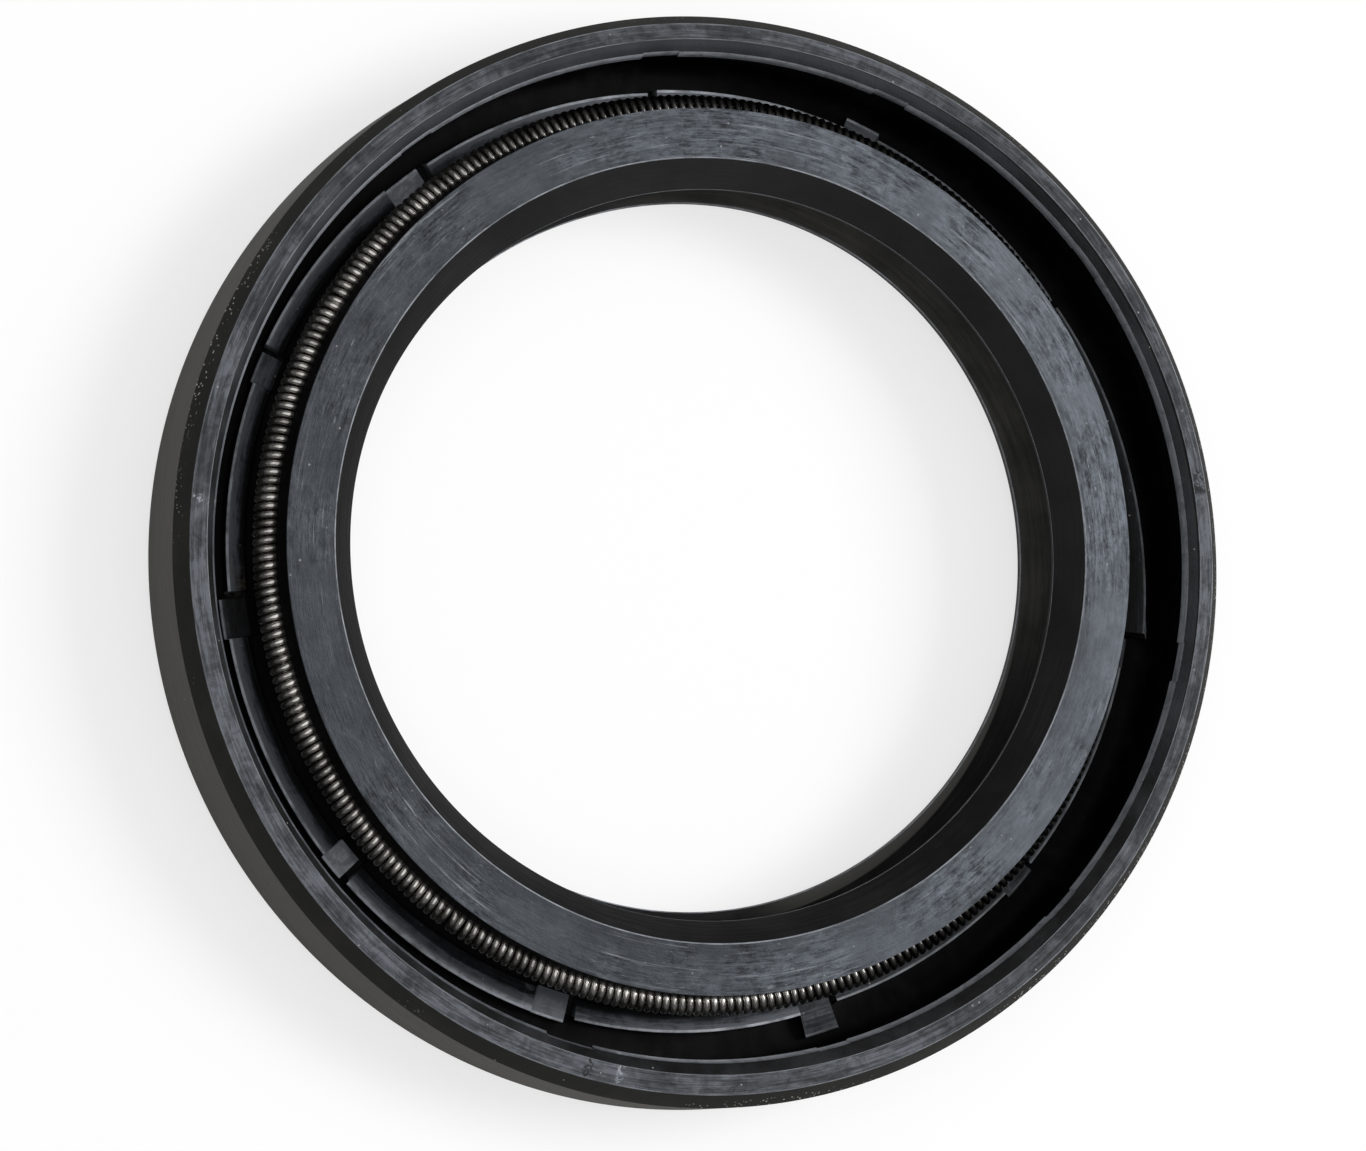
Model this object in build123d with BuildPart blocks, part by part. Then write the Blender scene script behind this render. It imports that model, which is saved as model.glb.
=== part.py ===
from build123d import *
from math import cos, pi, radians, sin, sqrt
import os

# Radial shaft seal, 45 x 65 x 8 mm, with a rubber-covered steel case, a spring-loaded
# sealing lip and a second lip against dust.
# It lies on its back (air-side) face: z = 0 is that face, z up is the oil side, and the
# Z axis is the axis of the shaft.  All sizes are in millimetres.

# ---------------------------------------------------------------- overall sizes
shaft_radius = 22.5            # the shaft the seal runs on
section_height = 10.0          # from the shaft to the housing
case_width = 8.0               # back face to front face, the seal's nominal width
front_chamfer_height = 1.25    # lead-in chamfer on the oil side
front_chamfer_depth = 0.75
back_chamfer_height = 0.9      # lead-in chamfer on the air side
back_chamfer_depth = 0.6
outer_rubber = 1.15            # rubber between the steel case and the housing
back_rubber = 0.5              # rubber under the case flange
front_rubber = 1.1             # rubber over the edge of the case

housing_radius = shaft_radius + section_height

# ---------------------------------------------------------------- steel case
steel_thickness = 1.1
case_inner_bend = 1.2          # inside radius where the wall turns into the flange

case_outside = housing_radius - outer_rubber
case_inside = case_outside - steel_thickness
case_top = case_width - front_rubber
flange_under = back_rubber
flange_top = flange_under + steel_thickness
case_outer_bend = case_inner_bend + steel_thickness

# ---------------------------------------------------------------- front rim
face_width = 1.0               # flat ring on the oil side
bevel_width = 0.55             # bevel from the flat ring to the mouth
bevel_drop = 0.45
lining_thickness = 0.3         # rubber that turns down inside the case wall
lining_height = 1.65           # how far the lining reaches below the bevel
mouth_round = 0.2              # rounding where the bevel meets the lining

face_outer = housing_radius - front_chamfer_depth
face_inner = face_outer - face_width
mouth_radius = case_inside - lining_thickness
mouth_top = case_width - bevel_drop
lining_end = mouth_top - lining_height

# ---------------------------------------------------------------- lip head
lip_interference = 0.65        # the free sealing edge is this much inside the shaft surface
seal_height = 7.1              # middle of the contact band
seal_band = 0.3                # height of the contact band
oil_cone_reach = 1.4           # from the sealing edge out to the lip face
lip_face_width = 2.9           # the broad trimmed face of the lip
head_inner_top = 9.05
head_outer_top = 8.45
air_cone_reach = 1.5           # from the sealing edge out to the lower end of the air-side cone
air_cone_height = 4.2
membrane_set_back = 0.45       # thinnest part of the flexing web
membrane_height = 3.15
membrane_thickness = 1.15
web_foot_thickness = 1.55
web_foot_height = 3.0
neck_drop = 0.38               # from the spring's groove lip down to the web

seal_radius = shaft_radius - lip_interference
head_inner = seal_radius + oil_cone_reach
head_outer = head_inner + lip_face_width
air_cone_radius = seal_radius + air_cone_reach
membrane_inner = air_cone_radius + membrane_set_back
web_outer_high = membrane_inner + membrane_thickness
web_outer_low = membrane_inner + web_foot_thickness

# ---------------------------------------------------------------- garter spring
coil_radius = 0.925            # half the outside diameter of the coil
wire_pitch = 0.495             # close-wound wire, stretched a little round the lip
wire_relief = 0.17             # depth of the hollow between two turns
spring_overhang = 0.25         # the coil's centre line stands out past the lip face
spring_height = 6.05
coil_sides = 8
groove_clearance = 0.03        # between the coil and its groove
groove_lip_inset = 0.15        # the edge that keeps the spring in stands in past the lip face
groove_lip_drop = 0.45

spring_radius = head_outer + spring_overhang
groove_radius = coil_radius + groove_clearance
groove_bottom = spring_radius - groove_radius
groove_lip_radius = head_outer - groove_lip_inset
turn_count = round(2 * pi * spring_radius / wire_pitch)

# ---------------------------------------------------------------- flange and its ring
flange_cover = 0.55            # rubber between the web and the end of the steel flange
flex_floor_inset = 0.4         # bottom of the hollow between the lip and the ring
flex_floor_cover = 0.5         # rubber left over the steel there
ring_width = 2.1               # from the hollow out to the sharp edge of the ring
ring_crest = 1.15              # height of that edge above the steel
ring_crest_width = 0.9
ring_crest_fall = 0.2

flange_end_radius = web_outer_low + flange_cover
flex_floor_radius = flange_end_radius + flex_floor_inset
flex_floor = flange_top + flex_floor_cover
ring_outer = flex_floor_radius + ring_width
ring_top = flange_top + ring_crest

# ---------------------------------------------------------------- dust lip and heel
dust_interference = 1.1        # the free tip of the dust lip is this much inside the shaft
dust_top = 1.95                # upper edge of the tip
dust_tip_height = 0.45
dust_land = 0.7                # flat on top of the tip
dust_lip_length = 1.95
dust_root_height = 2.5
dust_under_height = 0.75       # underside where the lip leaves the heel
heel_width = 0.95
heel_height = 0.45
heel_bevel = 0.8

dust_radius = shaft_radius - dust_interference
dust_root_radius = dust_radius + dust_lip_length
heel_radius = dust_root_radius + heel_width
back_inner_radius = heel_radius + heel_bevel

# ---------------------------------------------------------------- support marks
# The mould holds the case on twelve bars.  Each leaves a slot through the ring, with a thin
# pad of rubber over the steel, and a notch up the lining.  The bars stand in two groups of
# slightly unlike pitch.
slot_width = 2.15
slot_reach = 1.45              # how far a slot cuts into the ring
slot_pad = 0.25                # thickness of the pad
slot_top_gap = 0.1             # the bar ends this far above the lower edge of the bevel
first_group_start = 7.1
first_group_count = 7
first_group_pitch = 30.1
second_group_start = 220.5
second_group_count = 5
second_group_pitch = 32.2

slot_inner = ring_outer - slot_reach
slot_length = case_inside - slot_inner
slot_floor = flange_top + slot_pad
slot_ceiling = mouth_top + slot_top_gap


# ================================================================ steel case
# One deep-drawn ring of L section: wall, bend and flange.
with BuildPart() as steel_case:
    with BuildSketch(Plane.XZ) as case_section:
        with BuildLine():
            Polyline(
                (flange_end_radius, flange_under),
                (case_outside, flange_under),
                (case_outside, case_top),
                (case_inside, case_top),
                (case_inside, flange_top),
                (flange_end_radius, flange_top),
                close=True,
            )
        make_face()
        outer_bend = case_section.vertices().sort_by(lambda v: v.X - v.Y)[-1]
        fillet(outer_bend, case_outer_bend)
        inner_bend = case_section.vertices().sort_by(
            lambda v: abs(v.X - case_inside) + abs(v.Y - flange_top)
        )[0]
        fillet(inner_bend, case_inner_bend)
    revolve(axis=Axis.Z)

steel_case.part.label = "steel_case"

# ================================================================ rubber body
# Cover, rim, flange ring, flexing web, lip head and dust lip are moulded in one piece
# round the case.  The section is drawn as a cover and a lip, both of which run into the
# steel, and then the section of the case is taken out of them.
upper_groove = spring_height + sqrt(groove_radius**2 - (spring_radius - head_outer) ** 2)
lower_groove = spring_height - sqrt(groove_radius**2 - (spring_radius - groove_lip_radius) ** 2)
groove_lip_under = lower_groove - groove_lip_drop
steel_middle = case_inside + steel_thickness / 2
flange_middle = flange_top - steel_thickness / 2
bend_radius = case_inside - case_inner_bend
bend_height = flange_top + case_inner_bend
bend_reach = (case_inner_bend + steel_thickness / 2) * sin(radians(45))

with BuildPart() as rubber_body:
    with BuildSketch(Plane.XZ) as rubber_section:
        # cover: back face, outside, front chamfer, face, bevel and lining
        with BuildLine():
            Polyline(
                (web_outer_low, flange_middle),
                (web_outer_low, 0),
                (housing_radius - back_chamfer_depth, 0),
                (housing_radius, back_chamfer_height),
                (housing_radius, case_width - front_chamfer_height),
                (face_outer, case_width),
                (face_inner, case_width),
                (face_inner - bevel_width, mouth_top),
                (mouth_radius, mouth_top),
                (mouth_radius, lining_end),
                (steel_middle, lining_end),
                (steel_middle, bend_height),
            )
            ThreePointArc(
                (steel_middle, bend_height),
                (bend_radius + bend_reach, bend_height - bend_reach),
                (bend_radius, flange_middle),
            )
            Line((bend_radius, flange_middle), (web_outer_low, flange_middle))
        make_face()
        # lip: ring on the flange, hollow, web and the lower edge of the spring's groove
        with BuildLine():
            Polyline(
                (flex_floor_radius, 0),
                (flex_floor_radius, flange_middle),
                (ring_outer, flange_middle),
                (ring_outer, ring_top),
                (ring_outer - ring_crest_width, ring_top - ring_crest_fall),
                (flex_floor_radius, flex_floor),
                (web_outer_low, web_foot_height),
                (web_outer_high, groove_lip_under - neck_drop),
                (groove_lip_radius, groove_lip_under),
                (groove_lip_radius, lower_groove),
            )
            # round seat of the spring
            ThreePointArc(
                (groove_lip_radius, lower_groove),
                (groove_bottom, spring_height),
                (head_outer, upper_groove),
            )
            # lip face, sealing edge, air-side cone, web, dust lip and heel
            Polyline(
                (head_outer, upper_groove),
                (head_outer, head_outer_top),
                (head_inner, head_inner_top),
                (seal_radius, seal_height + seal_band / 2),
                (seal_radius, seal_height - seal_band / 2),
                (air_cone_radius, air_cone_height),
                (membrane_inner, membrane_height),
                (dust_root_radius, dust_root_height),
                (dust_radius + dust_land, dust_top),
                (dust_radius, dust_top),
                (dust_radius, dust_top - dust_tip_height),
                (dust_root_radius, dust_under_height),
                (heel_radius, heel_height),
                (back_inner_radius, 0),
                (flex_floor_radius, 0),
            )
        make_face()
        mouth_corner = rubber_section.vertices().sort_by(
            lambda v: abs(v.X - mouth_radius) + abs(v.Y - mouth_top)
        )[0]
        fillet(mouth_corner, mouth_round)
        add(case_section.sketch_local, mode=Mode.SUBTRACT)
    revolve(axis=Axis.Z)

    # slots and notches left by the bars of the mould, in two groups
    slot_middle = slot_inner + slot_length / 2
    with BuildSketch(Plane.XY.offset(slot_floor)):
        with PolarLocations(
            slot_middle,
            first_group_count,
            start_angle=first_group_start,
            angular_range=first_group_pitch * (first_group_count - 1),
            endpoint=True,
        ):
            Rectangle(slot_length, slot_width)
        with PolarLocations(
            slot_middle,
            second_group_count,
            start_angle=second_group_start,
            angular_range=second_group_pitch * (second_group_count - 1),
            endpoint=True,
        ):
            Rectangle(slot_length, slot_width)
    extrude(amount=slot_ceiling - slot_floor, mode=Mode.SUBTRACT)

rubber_body.part.label = "rubber_body"

# ================================================================ garter spring
# A close-wound coil joined end to end.  Each turn is a ridge and a hollow round the ring,
# drawn as ruled facets between many-sided sections, and the last section is the first.
half_turn_angle = 180 / turn_count

with BuildPart() as garter_spring:
    sections = []
    for step in range(2 * turn_count):
        angle = radians(step * half_turn_angle)
        outward = (cos(angle), sin(angle), 0)
        along = (-sin(angle), cos(angle), 0)
        centre = (spring_radius * cos(angle), spring_radius * sin(angle), spring_height)
        ridge = coil_radius if step % 2 else coil_radius - wire_relief
        with BuildSketch(Plane(origin=centre, x_dir=outward, z_dir=along), mode=Mode.PRIVATE) as turn:
            RegularPolygon(ridge, coil_sides)
        sections.append(turn.sketch.face())
    loft(sections=sections + sections[:1], ruled=True, clean=False)

garter_spring.part.label = "garter_spring"

# ================================================================ files
os.makedirs("parts", exist_ok=True)
export_step(rubber_body.part, "parts/rubber_body.step")
export_step(steel_case.part, "parts/steel_case.step")
export_step(garter_spring.part, "parts/garter_spring.step")
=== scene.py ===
from math import atan2, cos, exp, pi, radians, sin, sqrt, tan

import bpy
from mathutils import Matrix, Vector


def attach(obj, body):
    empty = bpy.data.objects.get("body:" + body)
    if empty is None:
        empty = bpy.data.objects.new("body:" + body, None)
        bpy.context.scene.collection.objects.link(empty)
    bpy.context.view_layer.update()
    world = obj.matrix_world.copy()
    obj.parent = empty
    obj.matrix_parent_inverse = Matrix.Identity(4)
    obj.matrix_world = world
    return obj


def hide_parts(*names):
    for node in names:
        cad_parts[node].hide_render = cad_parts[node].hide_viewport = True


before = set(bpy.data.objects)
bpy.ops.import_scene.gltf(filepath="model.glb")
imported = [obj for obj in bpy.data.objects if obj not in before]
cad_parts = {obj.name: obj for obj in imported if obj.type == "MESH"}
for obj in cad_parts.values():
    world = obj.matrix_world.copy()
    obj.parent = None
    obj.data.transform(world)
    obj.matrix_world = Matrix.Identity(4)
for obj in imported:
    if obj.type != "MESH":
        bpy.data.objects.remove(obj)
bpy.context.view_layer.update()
scene = bpy.context.scene

# ---------------------------------------------------------------- camera
# A long lens looks almost straight down on the oil side of the seal.  The shaft axis leans
# a little to the right and up in the view, so the outside shows along the left.
mm = 0.001
front_plane = 8.0 * mm          # height of the flat front rim
axis_lean = radians(18.5)
axis_lean_towards = radians(15.1)
front_in_view = Vector((1.730, 1.128, -450.0)) * mm     # middle of that rim, seen from the lens
focal_length = 200.84           # in millimetres, as the sensor width is
sensor_width = 36

axis_in_view = Vector((
    sin(axis_lean) * cos(axis_lean_towards),
    sin(axis_lean) * sin(axis_lean_towards),
    cos(axis_lean),
))
view_turn = Vector((0, 0, 1)).rotation_difference(axis_in_view).to_matrix()
lens = bpy.data.cameras.new("camera")
lens.lens = focal_length
lens.sensor_width = sensor_width
lens.clip_start = 0.01
lens.clip_end = 20
camera = bpy.data.objects.new("camera", lens)
stand_point = Vector((0, 0, front_plane)) - view_turn.transposed() @ front_in_view
camera.matrix_world = Matrix.Translation(stand_point) @ view_turn.transposed().to_4x4()
scene.collection.objects.link(camera)
scene.camera = camera
scene.view_settings.view_transform = "Standard"


# ---------------------------------------------------------------- table and light
# A plain white table under the seal, in a dim and even room.  The smaller lamp, halfway up on
# the right, reaches in under the edge of the broad face there, and a wider one hangs above.
class Field:
    """A value that varies over a surface: a node tree and one of its output sockets."""

    def __init__(self, tree, socket=None):
        self.tree = tree
        self.socket = socket

    def node(self, kind, settings=None, sockets=None, output=0):
        """Adds a node, sets it, feeds its sockets and returns one of its outputs."""
        made = self.tree.nodes.new(kind)
        for name, value in (settings or {}).items():
            setattr(made, name, value)
        for name, value in (sockets or {}).items():
            if isinstance(value, Field):
                self.tree.links.new(value.socket, made.inputs[name])
            else:
                made.inputs[name].default_value = value
        return Field(self.tree, made.outputs[output] if made.outputs else None)

    def other(self, output):
        """Another output of the node that this value comes from."""
        return Field(self.tree, self.socket.node.outputs[output])

    def math(self, operation, first, second=0.0):
        return self.node("ShaderNodeMath", {"operation": operation}, {0: first, 1: second})

    def __add__(self, other):
        return self.math("ADD", self, other)

    __radd__ = __add__

    def __sub__(self, other):
        return self.math("SUBTRACT", self, other)

    def __rsub__(self, other):
        return self.math("SUBTRACT", other, self)

    def __mul__(self, other):
        return self.math("MULTIPLY", self, other)

    __rmul__ = __mul__

    def __truediv__(self, other):
        return self.math("DIVIDE", self, other)

    def step(self, low, high, to_low=0.0, to_high=1.0):
        """Changes smoothly from to_low to to_high as the value goes from low to high."""
        return self.node(
            "ShaderNodeMapRange",
            {"interpolation_type": "SMOOTHSTEP"},
            {"Value": self, "From Min": low, "From Max": high, "To Min": to_low, "To Max": to_high},
        )

    def band(self, low, high, soft):
        """One between low and high, and nought beyond soft outside them."""
        return self.step(low - soft, low) * self.step(high, high + soft, 1.0, 0.0)

    def tint(self, low_colour, high_colour):
        """Mixes two colours by the value."""
        return self.node(
            "ShaderNodeMix",
            {"data_type": "RGBA"},
            {"Factor": self, 6: colour_of(low_colour), 7: colour_of(high_colour)},
            output=2,
        )


def colour_of(value):
    return value if isinstance(value, Field) else (*value, 1.0)


def empty_material(name):
    """A material without nodes yet, and a field to start its nodes from."""
    material = bpy.data.materials.new(name)
    material.use_nodes = True
    material.node_tree.nodes.clear()
    return material, Field(material.node_tree)


def mesh_object(name, points, faces, materials):
    mesh = bpy.data.meshes.new(name)
    mesh.from_pydata(points, [], faces)
    mesh.validate()
    for material in materials:
        mesh.materials.append(material)
    made = bpy.data.objects.new(name, mesh)
    scene.collection.objects.link(made)
    return made


table_size = 4.0
table_drop = 0.02 * mm          # keeps the table clear of the back face that lies on it
table_white = (0.93, 0.93, 0.93)
table_clear = 0.7               # share of plain white that thins the shadow on the table
room_strength = 0.14
table_material, start = empty_material("table_white")
path = start.node("ShaderNodeLightPath", output="Is Camera Ray")
seen = path.math("MAXIMUM", path, path.other("Is Glossy Ray"))
lit = start.node("ShaderNodeBsdfDiffuse", None, {"Color": (*table_white, 1.0)})
plain = start.node("ShaderNodeEmission", None, {"Color": (1.0, 1.0, 1.0, 1.0), "Strength": 1.0})
surface = start.node("ShaderNodeMixShader", None, {"Fac": seen * table_clear, 1: lit, 2: plain})
start.node("ShaderNodeOutputMaterial", None, {"Surface": surface})
half = table_size / 2
table = mesh_object(
    "table",
    [(x * half, y * half, -table_drop) for x, y in ((-1, -1), (1, -1), (1, 1), (-1, 1))],
    [(0, 1, 2, 3)],
    [table_material],
)

room = bpy.data.worlds.new("room")
room.use_nodes = True
background = room.node_tree.nodes["Background"]
background.inputs["Color"].default_value = (1.0, 1.0, 1.0, 1.0)
background.inputs["Strength"].default_value = room_strength
scene.world = room


def soft_lamp(name, side, height, distance, size, power):
    """A square lamp that faces the seal from a compass side and a height in degrees.

    The distance and the size are in metres and the power is in watts.
    """
    data = bpy.data.lights.new(name, "AREA")
    data.shape = "SQUARE"
    data.size = size
    data.energy = power
    made = bpy.data.objects.new(name, data)
    place = Vector((
        cos(radians(height)) * cos(radians(side)),
        cos(radians(height)) * sin(radians(side)),
        sin(radians(height)),
    )) * distance
    made.matrix_world = Matrix.Translation(place) @ place.to_track_quat("Z", "Y").to_matrix().to_4x4()
    scene.collection.objects.link(made)


soft_lamp("key_lamp", side=8, height=48, distance=1.2, size=0.5, power=10.0)
soft_lamp("top_lamp", side=60, height=88, distance=1.0, size=1.5, power=7.5)

# ---------------------------------------------------------------- rubber body
# One piece of nitrile rubber, moulded round the steel case: cover, front rim, the ring on
# the case flange, the flexing web, the lip head with its broad trimmed face, and the lips.
# All its sizes are in millimetres, with the back face at height 0.
outside_radius = 32.5
back_inner_radius = 25.1
back_outer_radius = 31.9
back_height = 0.9               # the chamfer at the back reaches this high
shoulder_height = 6.75          # and here the chamfer at the front begins
rim_height = front_plane / mm
rim_outer_radius = 31.75
rim_inner_radius = 30.77
bevel_foot_radius = 30.22
bevel_foot_height = 7.55
mouth_radius = 30.0
mouth_height = 7.05
lining_foot = 5.9
case_outer_radius = 31.35
case_inner_radius = 30.25
case_top = 6.9
case_foot = 0.5
case_bend = 2.3
flange_radius = 25.9
flange_top = 1.6
ring_edge = 28.35
ring_top = 2.6
pad_top = 2.3
gap_top = 1.62
face_outer_radius = 26.23
face_outer_height = 8.45
face_inner_radius = 23.25
face_inner_height = 9.05
sealing_radius = 21.85
sealing_top = 7.25
sealing_bottom = 6.95
dust_lip_radius = 21.4
dust_lip_top = 1.95
dust_lip_bottom = 1.5
spring_radius = 26.5
spring_height = 6.05
spring_tuck = 0.45              # the spring lies this much further in under the lip at 0 degrees
coil_radius = 0.925
groove_radius = coil_radius + 0.03
corner_steps = 3
broad_corner_steps = 8
edge_width = 0.12               # degrees over which a cut edge drops
gap_reach = -0.1                # of a gap, past the edge of the ring
ring_lit_depth = 0.15               # how far in from its edge the ring stays pale, before painted shade darkens it towards the spring

# Rubber comes out of the mould a little out of true: how far each part has moved, and by
# how much it is oval, long towards 0 degrees where positive.
inner_shift = Vector((-0.08, 0.35))
face_shift = Vector((0.155, 0.0))
face_oval = -0.07
rim_shift = Vector((0.12, 0.135))
rim_oval = 0.06
mouth_shift = Vector((0.04, 0.13))
mouth_oval = 0.16
mouth_skew = 0.07               # oval, long towards 45 degrees
mouth_shrink = 0.06
dust_lip_shift = Vector((0.30, 0.30))
lip_flat = 0.40                 # the lips are flattened this much towards flat_lip_side
flat_lip_side = 112
outside_flat = 0.35             # and the outside this much towards flat_outside
flat_outside = 120

# Where the mould's bars stood on the flange: the pad that each left, from and to in degrees,
# the gap beside it in degrees, before the pad where negative, how far the pad reaches past
# the ring, how pale it is, which is partly wear and partly painted light where the lamps leave
# the pad in shade, and how far in from its edge it stays so before painted shade darkens it.
pads = [
    (33.9, 38.9, -0.9, 0.55, 0.6, 0.0), (63.5, 68.0, 0.0, 0.70, 1.1, 1.2),
    (93.5, 98.4, -0.9, -0.27, 1.2, -0.2), (125.2, 130.2, -1.2, -0.17, 1.7, 1.2),
    (155.2, 159.2, -0.8, 0.0, 0.4, 0.8), (185.6, 190.4, -0.8, 0.30, 0.7, -0.25),
    (218.5, 221.9, 0.85, 0.33, 2.2, 1.4), (250.1, 254.4, 1.0, 0.37, 1.3, 1.4),
    (284.5, 288.8, 0.6, 1.24, 0.3, 0.8), (315.3, 319.8, 0.3, 0.47, 0.18, 0.8),
    (347.3, 351.0, 0.8, 0.41, 0.1, 1.0),
]
# The stretch of ring after each pad: how far it reaches at its start and end, and how pale
# it is, which is partly wear and partly painted light where the lamps leave it in shade.
arcs = [
    (0.40, 0.25, 0.3), (0.0, -0.15, 1.0), (-0.30, -0.29, 1.0), (-0.04, 0.07, 1.5),
    (-0.12, -0.24, 1.2), (0.09, 0.22, 1.3), (0.28, 0.37, 1.9), (0.08, -0.16, 1.0),
    (-0.30, 0.12, 0.14), (0.11, 0.26, 0.14), (1.45, 0.45, 0.08),
]
# The same bars nicked the mouth: from and to in degrees, and the depth of the nick.
nicks = [
    (34.5, 39.0, 0.05), (64.8, 69.0, 0.11), (92.9, 97.2, 0.10), (124.2, 128.5, 0.06),
    (249.8, 255.4, 0.16), (282.3, 286.0, 0.07), (314.4, 318.7, 0.09), (346.2, 350.7, 0.12),
]


def spring_reach(angle):
    """Radius of the spring's centre line at an angle in degrees."""
    return spring_radius - spring_tuck * max(0.0, cos(radians(angle))) ** 6


def place_on_ring(angle):
    """Says what lies on the flange at an angle: its kind, its reach, how pale and lit, how far in before
    painted shade.
    """
    angle %= 360
    for begin, end, gap, reach, pale_and_lit, depth in pads:
        if begin <= angle <= end:
            return "pad", ring_edge + reach, pale_and_lit, depth
        if begin + min(gap, 0) < angle < begin or end < angle < end + max(gap, 0):
            return "gap", ring_edge + gap_reach, 0.0, 1.0
    number = max((n for n, pad in enumerate(pads) if pad[0] <= angle), default=-1)
    begin = pads[number][1]
    length = (pads[(number + 1) % len(pads)][0] - begin) % 360
    share = ((angle - begin) % 360) / length
    first, last, pale_and_lit = arcs[number]
    return "ring", ring_edge + first + (last - first) * share, pale_and_lit, ring_lit_depth


def nick_depth(angle):
    return max((depth for begin, end, depth in nicks if begin < angle % 360 < end), default=0.0)


def pad_edges():
    """Every angle in degrees at which a pad or a gap begins or ends."""
    edges = []
    for begin, end, gap, *_ in pads:
        edges += [begin, end]
        if gap:
            edges.append(begin + gap if gap < 0 else end + gap)
    return edges


def rounded(corners):
    """Turns corners into a smooth outline.

    A corner is its radius and height, the rounding, the finish after it and, where it differs,
    the finish on the rounding itself.
    """
    points = []
    skins = []
    for index, (r, z, rounding, skin, *edge) in enumerate(corners):
        before = Vector(corners[index - 1][:2])
        after = Vector(corners[(index + 1) % len(corners)][:2])
        here = Vector((r, z))
        if rounding == 0:
            points.append(here)
            skins.append(skin)
            continue
        back, ahead = before - here, after - here
        half_turn = (pi - back.angle(ahead)) / 2
        reach = min(rounding * tan(half_turn), 0.45 * back.length, 0.45 * ahead.length)
        first = here + back.normalized() * reach
        last = here + ahead.normalized() * reach
        steps = corner_steps if rounding < 1 else broad_corner_steps
        for step in range(steps + 1):
            t = step / steps
            points.append((1 - t) ** 2 * first + 2 * t * (1 - t) * here + t**2 * last)
            skins.append(edge[0] if edge and step < steps else skin)
    return points, skins


# Which finish covers a stretch of the section.
moulded, rubbed, trimmed, worn_and_highlit, sealing, shaded_recess = range(6)


def groove_points(middle, count=7):
    """The round seat of the spring, from its lower edge to its upper edge."""
    lower_edge, upper_edge = -0.4, -0.25        # radii from the middle of the coil
    low = atan2(-sqrt(groove_radius**2 - lower_edge**2), lower_edge)
    high = atan2(sqrt(groove_radius**2 - upper_edge**2), upper_edge)
    sweep = (high - low) % (2 * pi) - 2 * pi
    angles = [low + sweep * n / (count - 1) for n in range(count)]
    return [
        (middle + groove_radius * cos(a), spring_height + groove_radius * sin(a), 0, shaded_recess)
        for a in angles
    ]


def rubber_section(angle):
    """Corners of the section at an angle, each with its rounding and the finish after it."""
    kind, edge, *_ = place_on_ring(angle)
    nick = nick_depth(angle)
    top = {"ring": ring_top, "pad": pad_top, "gap": gap_top}[kind]
    fall = {"ring": 1.0, "pad": 0.15, "gap": 0.0}[kind]
    at_cut = any(0 < (cut - angle) % 360 < edge_width for cut in pad_edges())
    skin = worn_and_highlit if at_cut else rubbed
    # A gap's cut edge takes the painted shade of the recesses.
    line = shaded_recess if kind == "gap" else worn_and_highlit
    middle = spring_reach(angle)
    neck = middle - spring_radius
    cover = [
        (back_inner_radius, 0, 0.1, moulded), (back_outer_radius, 0, 0.1, moulded),
        (outside_radius, back_height, 0.15, moulded), (outside_radius, shoulder_height, 0.12, moulded),
        (rim_outer_radius, rim_height, 0.08, rubbed, worn_and_highlit),
        (rim_inner_radius, rim_height, 0.07, moulded, worn_and_highlit),
    ]
    lining = [
        (bevel_foot_radius + nick / 2, bevel_foot_height, 0.04, rubbed),
        (mouth_radius + nick, mouth_height, 0.1, shaded_recess, worn_and_highlit),
        (min(mouth_radius + nick, 30.2), lining_foot, 0.02, shaded_recess),
    ]
    round_the_case = [
        (case_inner_radius, lining_foot, 0, moulded), (case_inner_radius, case_top, 0, moulded),
        (case_outer_radius, case_top, 0, moulded), (case_outer_radius, case_foot, case_bend, moulded),
        (flange_radius, case_foot, 0, moulded), (flange_radius, flange_top, 0, moulded),
    ]
    ring = [
        (edge, flange_top, 0, moulded), (edge, top, 0.1, line, line),
        (edge - 0.17, top - 0.02 * fall, 0, skin), (edge - 0.45, top - 0.08 * fall, 0.25, skin),
        (edge - 1.0, top - 0.32 * fall, 0.3, skin),
        (min(27.0, edge - 1.4), top - 0.75 * fall, 0.3, shaded_recess), (26.3, min(2.1, top), 0.3, shaded_recess),
    ]
    web = [
        (25.35 + neck / 2, 3.0, 0.4, shaded_recess), (24.95 + neck / 2, 4.35, 0.3, shaded_recess),
        (26.0 + neck, 4.73, 0.1, shaded_recess),
    ]
    lip_head = [
        *groove_points(middle),
        (face_outer_radius, face_outer_height, 0.07, trimmed),
        (face_inner_radius, face_inner_height, 0.08, sealing, worn_and_highlit),
        (sealing_radius, sealing_top, 0.05, sealing, worn_and_highlit),
        (sealing_radius, sealing_bottom, 0.04, sealing),
    ]
    dust_lip = [
        (23.35, 4.2, 0.4, sealing), (23.8, 3.15, 0.4, sealing), (23.35, 2.5, 0.3, sealing),
        (22.1, dust_lip_top, 0.12, sealing), (dust_lip_radius, dust_lip_top, 0.07, sealing, worn_and_highlit),
        (dust_lip_radius, dust_lip_bottom, 0.06, moulded),
    ]
    heel = [(23.3, 0.75, 0.3, moulded), (24.3, 0.45, 0.1, moulded)]
    return cover + lining + round_the_case + ring + web + lip_head + dust_lip + heel


def flattened(around, side, power):
    """One towards a side in degrees, falling to nought a quarter turn from it."""
    return max(0.0, cos(around - radians(side))) ** power


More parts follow.
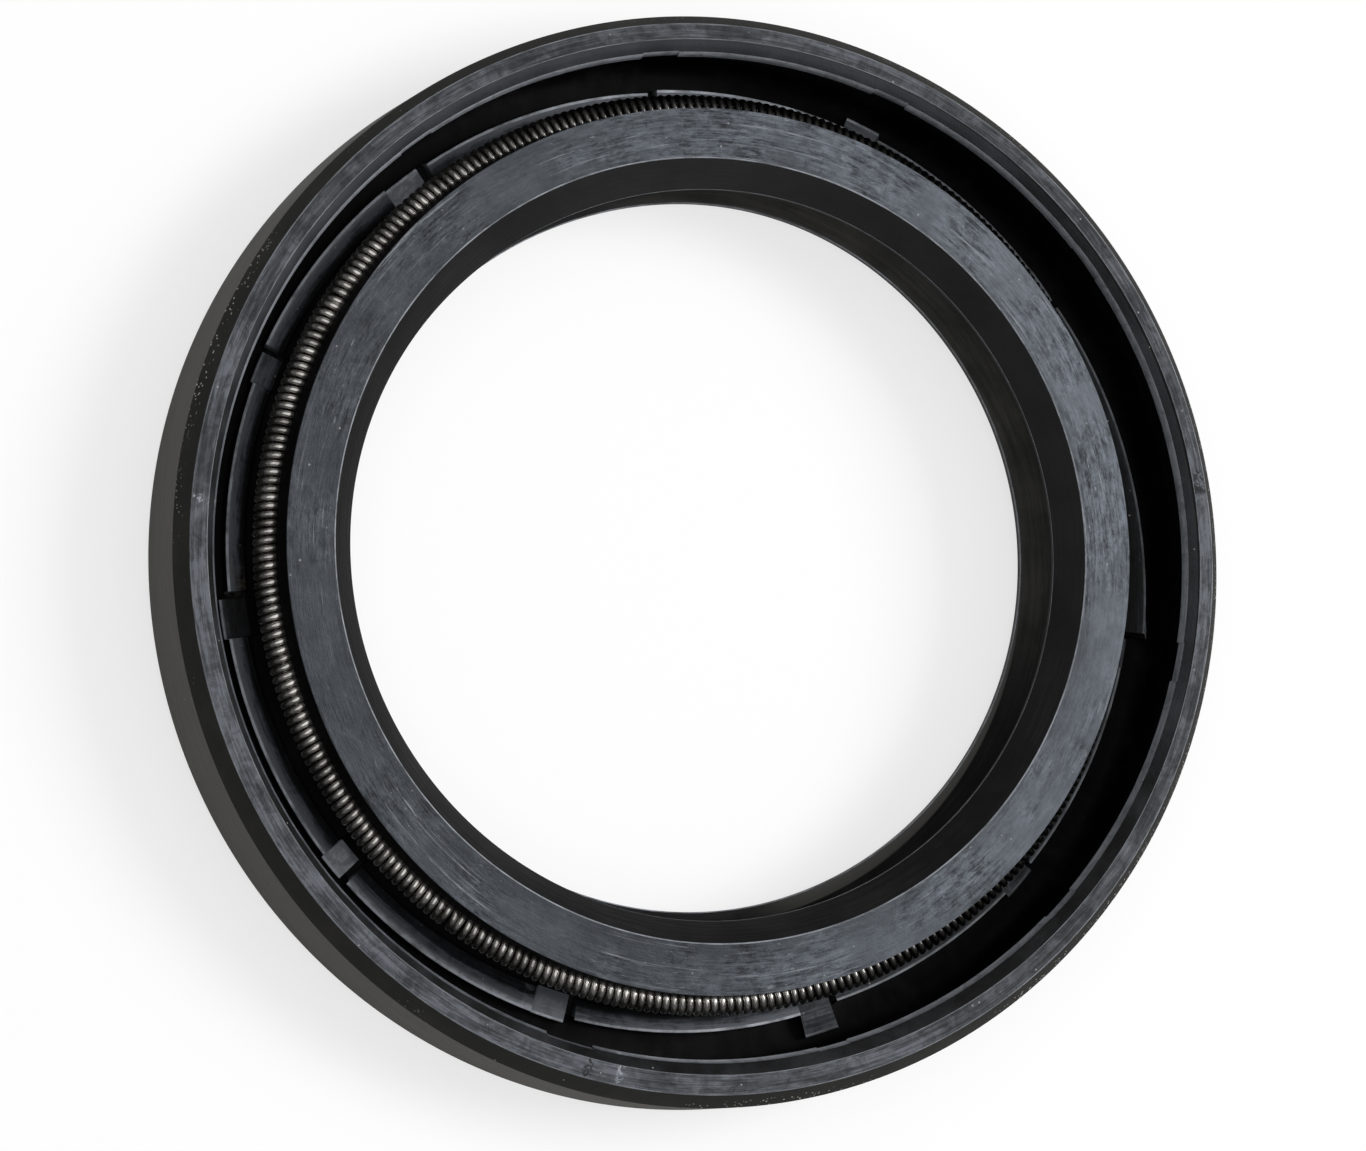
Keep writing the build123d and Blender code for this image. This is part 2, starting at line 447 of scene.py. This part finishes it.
def out_of_true(r, z, angle):
    """Turns a point of the section to its place, and moves what the mould left out of true."""
    around = radians(angle)
    shift = Vector((0.0, 0.0))
    oval = 0.0
    # The inner edge of the front rim, and under it the mouth, down to the foot of the lining.
    if 29.6 < r < 31.0 and z > 7.8:
        shift = rim_shift
        oval = rim_oval
    elif 29.6 < r < 31.0 and z > 5.8:
        share = min(1.0, (z - lining_foot) / 0.9)
        shift = mouth_shift * share
        oval = mouth_oval * share
        r += (mouth_skew * sin(2 * around) - mouth_shrink) * share
    # All that lies inside the mouth, but for the back face and the rubber under the flange.
    elif r < 29.75 and z > 0.3 and not (r > 25.5 and z < 1.55):
        shift = inner_shift * min(1.0, z / 1.5)
        if z > 8.0 and r > 25.5:
            shift = shift + face_shift
            oval = face_oval
        if r < 25.0 and z < 5.0:
            shift = shift + dust_lip_shift * min(1.0, (5.0 - z) / 2.0)
        if r < 22.5:
            r -= lip_flat * flattened(around, flat_lip_side, 6)
    # The outside, which is flattened less towards the front.
    elif r > 31.8:
        r -= outside_flat * flattened(around, flat_outside, 4) * (1.0 - z / 16.0)
    r += oval * cos(2 * around)
    return Vector((r * cos(around) + shift.x, r * sin(around) + shift.y, z)) * mm


def paleness_and_light(r, z, angle):
    """How pale the rubber is at a point of the section: rubbed pale, with painted light on the ring and
    pads and painted shade that darkens them towards the spring.
    """
    at_rim, off_the_ring, shade_floor = 0.35, 0.6, 0.04
    if z > 7.8 and r > 30.0:
        return at_rim
    if z > 3.0 or r < 26.5 or r > 29.9:
        return off_the_ring
    kind, edge, pale_and_lit, depth = place_on_ring(angle)
    if edge - r < 0.15:
        return 0.45 + 0.55 * pale_and_lit if kind == "ring" else pale_and_lit
    # Inwards from the edge the paleness falls away: painted shade under the lip and the spring.
    into_shade = (edge - r - depth) / 0.7
    return pale_and_lit * max(shade_floor, 1.0 - max(0.0, into_shade))


def columns():
    """Angles of the mesh columns in degrees, with a close pair at each cut edge."""
    clear = 0.25                # degrees kept free on each side of a cut edge
    edges = pad_edges() + [angle for begin, end, _ in nicks for angle in (begin, end)]
    made = {(edge + side) % 360 for edge in edges for side in (-edge_width / 2, edge_width / 2)}
    made |= {float(n) for n in range(360) if min(abs(n - e) for e in edges) > clear}
    return sorted(made)


def revolve(name, sections, angles, place, materials, rub_and_light=None):
    """Joins outlines of equal count at successive angles into one closed ring."""
    points = []
    for (outline, _), angle in zip(sections, angles):
        points += [place(r, z, angle) for r, z in outline]
    count = len(sections[0][0])
    faces = []
    skins = []
    for column in range(len(sections)):
        after = (column + 1) % len(sections)
        for n in range(count):
            up = (n + 1) % count
            faces.append((column * count + n, after * count + n, after * count + up, column * count + up))
            skins.append(sections[column][1][n])
    made = mesh_object(name, points, faces, materials)
    for face, skin in zip(made.data.polygons, skins):
        face.material_index = skin
    if rub_and_light:
        amounts = [rub_and_light(r, z, angle) for (outline, _), angle in zip(sections, angles) for r, z in outline]
        made.data.attributes.new("rub_and_light", "FLOAT", "POINT").data.foreach_set("value", amounts)
    made.data.shade_smooth()
    made.data.set_sharp_from_angle(angle=radians(35))
    return made


def seal_coordinates(start):
    """Radius and height of a surface point in millimetres, and its direction from the axis."""
    x = start.node(
        "ShaderNodeSeparateXYZ",
        None,
        {"Vector": start.node("ShaderNodeTexCoord", output="Object")},
    )
    y, z = x.other("Y"), x.other("Z")
    distance = start.math("SQRT", x * x + y * y)
    return distance * 1000, z * 1000, x / distance, y / distance


def facing(east, north, side):
    """One where a point lies towards a side in degrees from the axis, minus one opposite."""
    return east * cos(radians(side)) + north * sin(radians(side))


def near_angle(start, angle, width, soft):
    """One within a width in degrees of an angle round the seal, nought elsewhere."""
    _, _, east, north = seal_coordinates(start)
    return facing(east, north, angle).step(cos(radians(width + soft)), cos(radians(width)))


def cloud(place, scale, detail=4.0, roughness=0.55, distortion=0.0):
    """Soft noise over a place vector in metres, with the scale in spots per metre."""
    return place.node(
        "ShaderNodeTexNoise",
        None,
        {"Vector": place, "Scale": scale, "Detail": detail, "Roughness": roughness,
         "Distortion": distortion},
    )


def streaks(start, along, across, detail=4.0, roughness=0.6):
    """Noise drawn out round the seal: along is spots per radian, across is spots per mm."""
    radius, height, east, north = seal_coordinates(start)
    place = start.node(
        "ShaderNodeCombineXYZ",
        None,
        {"X": east * along, "Y": north * along, "Z": (radius + height * 1.7) * across},
    )
    return cloud(place, 1.0, detail, roughness)


def specks(start, scale, size, share):
    """Scattered grains: scale is cells per metre, share is the part of the cells that has one."""
    place = start.node("ShaderNodeTexCoord", output="Object")
    near = start.node("ShaderNodeTexVoronoi", None, {"Vector": place, "Scale": scale})
    chosen = start.node("ShaderNodeSeparateColor", None, {"Color": near.other("Color")})
    return near.step(size * 0.5, size, 1.0, 0.0) * chosen.step(1 - share, 1 - share + 0.01)


def rubber_surface(start, colour, roughness, gloss, relief, depth):
    """Rubber with a fine relief, whose depth is in metres."""
    bump = start.node("ShaderNodeBump", None, {"Height": relief, "Distance": depth, "Strength": 1.0})
    surface = start.node(
        "ShaderNodeBsdfPrincipled",
        None,
        {"Base Color": colour, "Roughness": roughness, "Normal": bump,
         "Specular IOR Level": gloss},
    )
    start.node("ShaderNodeOutputMaterial", None, {"Surface": surface})


# Straight from the mould: near black, with a warm dull bloom outside, a grey one on the
# bevel inside the front rim, and dust along the front chamfer.
moulded_rubber, start = empty_material("moulded_rubber")
mould_black = (0.0055, 0.0055, 0.0055)
warm_bloom = (0.099, 0.095, 0.087)
bevel_grey = (0.050, 0.053, 0.060)
dust_colour = (0.42, 0.41, 0.38)
place = start.node("ShaderNodeTexCoord", output="Object")
radius, height, east, north = seal_coordinates(start)
outside = radius.step(32.1, 32.4) * height.step(6.70, 6.78, 1.0, 0.0)
chamfer = height.step(6.72, 6.80) * radius.step(31.6, 31.8)
bevel = height.step(7.45, 7.6) * radius.step(30.9, 30.8) * radius.step(29.8, 30.0)
patches = cloud(place, 260, 5.0, 0.6)
fine_streaks = streaks(start, 9.0, 2.2)
bloom = outside * (0.5 + 0.55 * fine_streaks) + chamfer * 0.12 + patches.step(0.45, 0.75, 0.0, 0.10)
dust_line = height.band(6.7, 7.25, 0.25) * radius.step(31.9, 32.1) * cloud(place, 55, 3.0).step(0.5, 0.62)
dust = specks(start, 4600, 0.34, 0.5) * dust_line + specks(start, 1500, 0.10, 0.10) * 0.6
# The bevel's haze grows towards 105 degrees and near 5 degrees.
lighter_side = facing(east, north, 105).step(0.35, 0.85, 0.0, 0.75) * radius.step(30.2, 30.7, 0.5, 1.0)
bevel_haze = patches.step(0.3, 0.8, 0.0, 0.4) + lighter_side + near_angle(start, 5, 14, 18) * 0.45
colour = (bevel * bevel_haze).tint(bloom.tint(mould_black, warm_bloom), bevel_grey)
colour = dust.tint(colour, dust_colour)
roughness = 0.42 + 0.25 * outside + 0.3 * chamfer + 0.16 * patches
relief = cloud(place, 5200, 3.0) + fine_streaks * 0.6
rubber_surface(start, colour, roughness, 0.16, relief, 0.03 * mm)

# Rubbed in handling: a blue-grey haze in patches on the front rim, round the mouth, on the ring and on
# the pads, with a few torn, scored and stained places.  On the ring and the pads the haze also carries
# painted light and shade: it falls to black towards the spring as painted shade, and is set lighter
# where the lamps leave the ring in shade.
rubbed_rubber, start = empty_material("rubbed_rubber")
rubbed_black = (0.005, 0.0052, 0.0058)
haze_grey = (0.118, 0.127, 0.145)
pale_wear_and_light = (0.40, 0.42, 0.46)
frayed_grey = (0.24, 0.25, 0.27)
stain_brown = (0.13, 0.11, 0.085)
torn_black = (0.006, 0.006, 0.006)
scored_grey = (0.38, 0.40, 0.44)
grain_colour = (0.38, 0.38, 0.36)
place = start.node("ShaderNodeTexCoord", output="Object")
radius, height, east, north = seal_coordinates(start)
rub_and_light = start.node("ShaderNodeAttribute", {"attribute_name": "rub_and_light"}, output="Fac")
patches = cloud(place, 330, 6.0, 0.65, 0.6)
fine_streaks = streaks(start, 14.0, 3.2)
scuffs = cloud(place, 900, 5.0, 0.7, 1.2)
fine_lines = streaks(start, 5.0, 9.0, 3.0, 0.65)
rim = height.step(6.9, 7.1)
below_rim = 1 - rim
rim_wear = facing(east, north, 225).step(0.3, 0.65, 0.76, 1.14)
rim_wear = rim_wear + near_angle(start, 2, 9, 9) * radius.step(31.2, 31.8, 0.75, 0.2)
haze_and_light = patches.step(0.36, 0.64, 0.45, 1.0) * fine_streaks.step(0.38, 0.62, 0.5, 1.1)
haze_and_light = haze_and_light * scuffs.step(0.34, 0.6, 0.6, 1.1) * fine_lines.step(0.40, 0.60, 0.7, 1.3)
haze_and_light = haze_and_light * (rim * rim_wear + below_rim * rub_and_light * 3.4)
colour = haze_and_light.tint(rubbed_black, haze_grey)
frayed = near_angle(start, 249.2, 0.7, 0.5) * scuffs.step(0.45, 0.55) * below_rim
colour = (frayed * 0.4).tint(colour, frayed_grey)
# The palest pads and stretches of the ring are rubbed nearly through, and painted paler still as painted
# light where the lamps leave them in shade.
pale_and_lit = ((rub_and_light - 0.9) * patches.step(0.3, 0.6, 0.5, 1.0) * below_rim).step(0.0, 0.9)
pale_and_lit = pale_and_lit * scuffs.step(0.38, 0.60, 0.45, 1.1) * fine_streaks.step(0.35, 0.6, 0.7, 1.0)
colour = pale_and_lit.tint(colour, pale_wear_and_light)
stained = near_angle(start, 182.6, 1.2, 1.2) * cloud(place, 3200, 3.0).step(0.48, 0.6) * below_rim
colour = (stained * 0.55).tint(colour, stain_brown)
nicked = cloud(place, 2600, 3.0, 0.6, 1.5)
torn = near_angle(start, 9.0, 0.8, 0.9) + near_angle(start, 255.0, 0.1, 0.6)
torn = torn * nicked.step(0.44, 0.52) * rim
colour = (torn * 0.85).tint(colour, torn_black)
scored = near_angle(start, 174.6, 0.1, 0.5) + near_angle(start, 258.7, 0.1, 0.5)
scored = scored * nicked.step(0.53, 0.60) * rim
colour = (scored * 0.6).tint(colour, scored_grey)
# A pale line runs round the mouth, partly wear and partly a painted highlight: its bright part moves up
# or down the mouth with the side, and it fades towards 212 degrees.
mouth_line_and_highlight = height.step(7.0, 7.1) * height.step(7.60, 7.66, 1.0, 0.0) * radius.step(30.5, 30.7, 1.0, 0.0)
mouth_line_and_highlight = mouth_line_and_highlight * (0.80 + (height.step(7.05, 7.6) - 0.5) * (north + 0.3 * east))
mouth_line_and_highlight = mouth_line_and_highlight * (1 - 0.82 * facing(east, north, 212).step(0.60, 0.78))
colour = (mouth_line_and_highlight * scuffs.step(0.3, 0.6, 0.6, 1.0) * 0.74).tint(colour, pale_wear_and_light)
grains = specks(start, 2200, 0.16, 0.12)
colour = (grains * 0.7).tint(colour, grain_colour)
relief = patches + 0.6 * scuffs + 0.8 * fine_streaks
rubber_surface(start, colour, 0.62 - 0.16 * patches, 0.14, relief, 0.08 * mm)

# Trimmed with a turning knife: fine scratches run round the broad face of the lip, in
# rough stretches and calm ones.  The face is painted lighter towards 10 degrees, as painted sheen from
# the lamp on the right.
trimmed_rubber, start = empty_material("trimmed_rubber")
trimmed_black = (0.008, 0.0095, 0.0125)
trimmed_grey = (0.178, 0.200, 0.230)
scratch_white = (0.26, 0.275, 0.30)
grain_colour = (0.40, 0.40, 0.38)
place = start.node("ShaderNodeTexCoord", output="Object")
radius, _, east, north = seal_coordinates(start)
patches = cloud(place, 240, 6.0, 0.62, 0.5)
mottles = streaks(start, 24.0, 4.2, 6.0, 0.78)
scratches = streaks(start, 10.0, 10.0, 4.0, 0.75)
long_scratches = streaks(start, 2.2, 9.0, 2.0, 0.5)
flecks = streaks(start, 30.0, 9.0, 3.0, 0.6)
scuffs = cloud(place, 1500, 5.0, 0.75, 0.8)
roughened = cloud(place, 150, 4.0, 0.6, 0.4).step(0.42, 0.58, 0.35, 1.35)
# Painted sheen: the face is lighter towards 10 degrees, where the lamp on the right shines.
lighter_side = facing(east, north, 10).step(-0.7, 1.0, 0.50, 0.96)
marks = (
    0.40 * mottles.step(0.40, 0.60) + 0.30 * scratches.step(0.41, 0.59)
    + 0.16 * scuffs.step(0.40, 0.62) - 0.43
)
haze_and_light = 0.51 + 0.30 * patches.step(0.34, 0.66) + roughened * marks
haze_and_light = radius.step(23.2, 24.4, 0.75, 1.0) * lighter_side * haze_and_light
colour = haze_and_light.tint(trimmed_black, trimmed_grey)
white = long_scratches.step(0.63, 0.70) * scratches.step(0.40, 0.60) + flecks.step(0.66, 0.74)
colour = (white * roughened * 0.75).tint(colour, scratch_white)
grains = specks(start, 1700, 0.14, 0.10)
colour = (grains * 0.7).tint(colour, grain_colour)
relief = mottles + 0.8 * scratches + 0.7 * scuffs
rubber_surface(start, colour, 0.47 - 0.12 * mottles, 0.24, relief, 0.12 * mm)

# The sealing cone and the dust lip come from polished steel and stay smooth and black.  They are
# painted lighter towards 55 degrees, and the dust lip's upper face towards 42 degrees, as painted light
# where the lip's body leaves them in shade, and the dust lip's edge towards 320 degrees carries a painted
# highlight.
sealing_rubber, start = empty_material("sealing_surfaces")
sealing_black = (0.0095, 0.0095, 0.0096)
sealing_grey = (0.024, 0.024, 0.0245)
lit_side_grey = (0.029, 0.029, 0.0295)
lit_dust_lip_grey = (0.100, 0.097, 0.092)
highlight_grey = (0.130, 0.127, 0.120)
place = start.node("ShaderNodeTexCoord", output="Object")
radius, height, east, north = seal_coordinates(start)
patches = cloud(place, 180, 5.0, 0.6)
marks = streaks(start, 5.0, 3.0, 4.0, 0.6)
colour = (patches.step(0.35, 0.7) * marks.step(0.3, 0.7)).tint(sealing_black, sealing_grey)
# Painted light: lighter towards 55 degrees.
lit_side = facing(east, north, 55).step(-0.4, 0.9, 0.0, 0.8) * patches.step(0.2, 0.7, 0.6, 1.0)
colour = lit_side.tint(colour, lit_side_grey)
# Painted light on the dust lip's upper face, towards 42 degrees.
lit_dust_lip = height.step(3.0, 5.0, 1.0, 0.0) * facing(east, north, 42).step(0.35, 0.85)
lit_dust_lip = lit_dust_lip * patches.step(0.2, 0.7, 0.4, 1.0) * marks.step(0.3, 0.6, 0.6, 1.0)
colour = lit_dust_lip.tint(colour, lit_dust_lip_grey)
# Painted highlight along the dust lip's edge towards 320 degrees.
dust_lip_highlight = facing(east, north, 320).step(0.75, 0.92)
dust_lip_highlight = dust_lip_highlight * height.step(2.3, 2.6, 1.0, 0.0) * radius.step(21.6, 21.75, 1.0, 0.0)
colour = (dust_lip_highlight * 0.8).tint(colour, highlight_grey)
rubber_surface(start, colour, 0.46 + 0.12 * patches, 0.03, marks + 0.5 * patches, 0.04 * mm)

# Sharp edges, rubbed through to a paler line that comes and goes; the line is partly wear and partly a
# painted highlight where the edges catch the light, and it follows the rub attribute's painted light and
# shade.
worn_and_highlit_rubber, start = empty_material("worn_and_highlit_edges")
edge_black = (0.012, 0.013, 0.015)
edge_pale_and_highlight = (0.44, 0.47, 0.52)
place = start.node("ShaderNodeTexCoord", output="Object")
rub_and_light = start.node("ShaderNodeAttribute", {"attribute_name": "rub_and_light"}, output="Fac")
gaps = cloud(place, 420, 5.0, 0.65)
fine_streaks = streaks(start, 26.0, 1.0)
line = gaps.step(0.3, 0.62, 0.25, 1.0) * fine_streaks.step(0.25, 0.6, 0.5, 1.0) * rub_and_light
colour = line.tint(edge_black, edge_pale_and_highlight)
rubber_surface(start, colour, 0.55 - 0.1 * gaps, 0.5, gaps + fine_streaks, 0.04 * mm)

# In the channel round the lip, in the spring's seat, down the mouth and in the gaps beside the pads, the
# rubber is matt and painted blacker than moulded rubber, as painted shade in these recesses.
shaded_recess_rubber, start = empty_material("shaded_recess_rubber")
channel_black = (0.0022, 0.0022, 0.0024)
channel_grey = (0.0075, 0.0076, 0.0082)
grain_colour = (0.30, 0.29, 0.27)
place = start.node("ShaderNodeTexCoord", output="Object")
patches = cloud(place, 300, 5.0, 0.6)
flow = streaks(start, 6.0, 1.6)
colour = (patches.step(0.4, 0.7) * flow.step(0.3, 0.7)).tint(channel_black, channel_grey)
grains = specks(start, 1900, 0.14, 0.06)
colour = (grains * 0.4).tint(colour, grain_colour)
rubber_surface(start, colour, 0.6 + 0.1 * patches, 0.06, patches + flow, 0.04 * mm)

angles = columns()
rubber = revolve(
    "rubber_body_moulding",
    [rounded(rubber_section(angle)) for angle in angles],
    angles,
    out_of_true,
    [moulded_rubber, rubbed_rubber, trimmed_rubber, worn_and_highlit_rubber, sealing_rubber, shaded_recess_rubber],
    paleness_and_light,
)
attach(rubber, "root")
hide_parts("rubber_body")

# ---------------------------------------------------------------- steel case
# A deep-drawn ring of L section under a dark bonding primer, bare inside where the lining
# ends.  The rubber was moulded round it, so it has the sizes that the rubber leaves for it.
primer_black = (0.0020, 0.0020, 0.0021)
primer_grey = (0.008, 0.0080, 0.0082)
inner_bend = 1.2
case_material, start = empty_material("primed_steel")
place = start.node("ShaderNodeTexCoord", output="Object")
smudges = cloud(place, 240, 5.0, 0.6)
drips = streaks(start, 30.0, 0.6)
surface = start.node(
    "ShaderNodeBsdfPrincipled",
    None,
    {
        "Base Color": (smudges * drips).step(0.2, 0.5).tint(primer_black, primer_grey),
        "Roughness": smudges.step(0.3, 0.7, 0.5, 0.7),
        "Specular IOR Level": 0.06,
    },
)
start.node("ShaderNodeOutputMaterial", None, {"Surface": surface})
case_outline = rounded([
    (flange_radius, case_foot, 0, 0), (case_outer_radius, case_foot, case_bend, 0),
    (case_outer_radius, case_top, 0, 0), (case_inner_radius, case_top, 0, 0),
    (case_inner_radius, flange_top, inner_bend, 0), (flange_radius, flange_top, 0, 0),
])


def in_true(r, z, angle):
    return Vector((r * cos(radians(angle)), r * sin(radians(angle)), z)) * mm


case = revolve("drawn_case", [case_outline] * 360, range(360), in_true, [case_material])
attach(case, "root")
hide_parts("steel_case")

# ---------------------------------------------------------------- garter spring
# Close-wound spring wire, its two ends screwed into each other to make a ring, snapped into
# the groove behind the sealing lip.
turns = 335
turn_steps = 20
wire_sides = 8
wire_radius = 0.215
wind_radius = coil_radius - wire_radius
joint_angle = 234.0             # here the thin end of the wire is screwed into the other end
joint_width = 1.6
joint_shift = 0.28              # in turns
loose_angle = 147.5             # and here a turn stands a little apart
loose_width = 0.9
loose_shift = 0.16


def unevenness(angle):
    """Shift along the ring, in turns, of the wire at an angle in degrees."""
    from_joint = angle - joint_angle
    from_loose = angle - loose_angle
    at_joint = joint_shift * exp(-((from_joint / joint_width) ** 2)) * sin(3.1 * from_joint)
    at_loose = loose_shift * exp(-((from_loose / loose_width) ** 2)) * sin(2.5 * from_loose)
    return at_joint - at_loose


def wire_mesh():
    """Points and faces of the wire: a ring of wire_sides points at each step of each turn."""
    points = []
    faces = []
    rings = turns * turn_steps
    for n in range(rings):
        wind = 2 * pi * (n % turn_steps) / turn_steps
        angle = (-360 * n / rings) % 360
        angle += unevenness(angle) * 360 / turns
        around = radians(angle)
        outward = Vector((cos(around), sin(around), 0))
        along = Vector((-sin(around), cos(around), 0))
        up = Vector((0, 0, 1))
        spoke = outward * cos(wind) + up * sin(wind)
        rim = -outward * sin(wind) + up * cos(wind)
        lead = spring_radius / turns
        ahead = (rim * wind_radius - along * lead).normalized()
        side = spoke.cross(ahead)
        middle = outward * spring_reach(angle) + up * spring_height + spoke * wind_radius
        middle += inner_shift.to_3d()
        for m in range(wire_sides):
            turn = 2 * pi * m / wire_sides
            points.append((middle + (spoke * cos(turn) + side * sin(turn)) * wire_radius) * mm)
    for n in range(rings):
        after = (n + 1) % rings
        for m in range(wire_sides):
            up_side = (m + 1) % wire_sides
            faces.append((
                n * wire_sides + m, after * wire_sides + m,
                after * wire_sides + up_side, n * wire_sides + up_side,
            ))
    return points, faces


# Bright drawn wire, painted black towards 20 degrees as painted shade where the lip hides the spring from
# the lamps.
wire_material, start = empty_material("spring_wire")
painted_shade_black = (0.0, 0.0, 0.0)
dull_steel = (0.22, 0.208, 0.194)
bright_steel = (0.72, 0.697, 0.662)
place = start.node("ShaderNodeTexCoord", output="Object")
brightness = cloud(place, 700, 4.0, 0.6).step(0.3, 0.7)
_, _, east, north = seal_coordinates(start)
# Painted shade: the wire goes black on the side towards 20 degrees.
unshaded_side = facing(east, north, 20).step(-0.55, 0.20, 1.0, 0.10)
drawn_marks = cloud(place, 4200, 3.0, 0.6)
surface = start.node(
    "ShaderNodeBsdfPrincipled",
    None,
    {
        "Base Color": unshaded_side.tint(painted_shade_black, brightness.tint(dull_steel, bright_steel)),
        "Metallic": 0.95,
        "Roughness": drawn_marks.step(0.3, 0.7, 0.20, 0.30),
    },
)
start.node("ShaderNodeOutputMaterial", None, {"Surface": surface})
points, faces = wire_mesh()
spring = mesh_object("wound_garter_spring", points, faces, [wire_material])
spring.data.shade_smooth()
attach(spring, "root")
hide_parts("garter_spring")
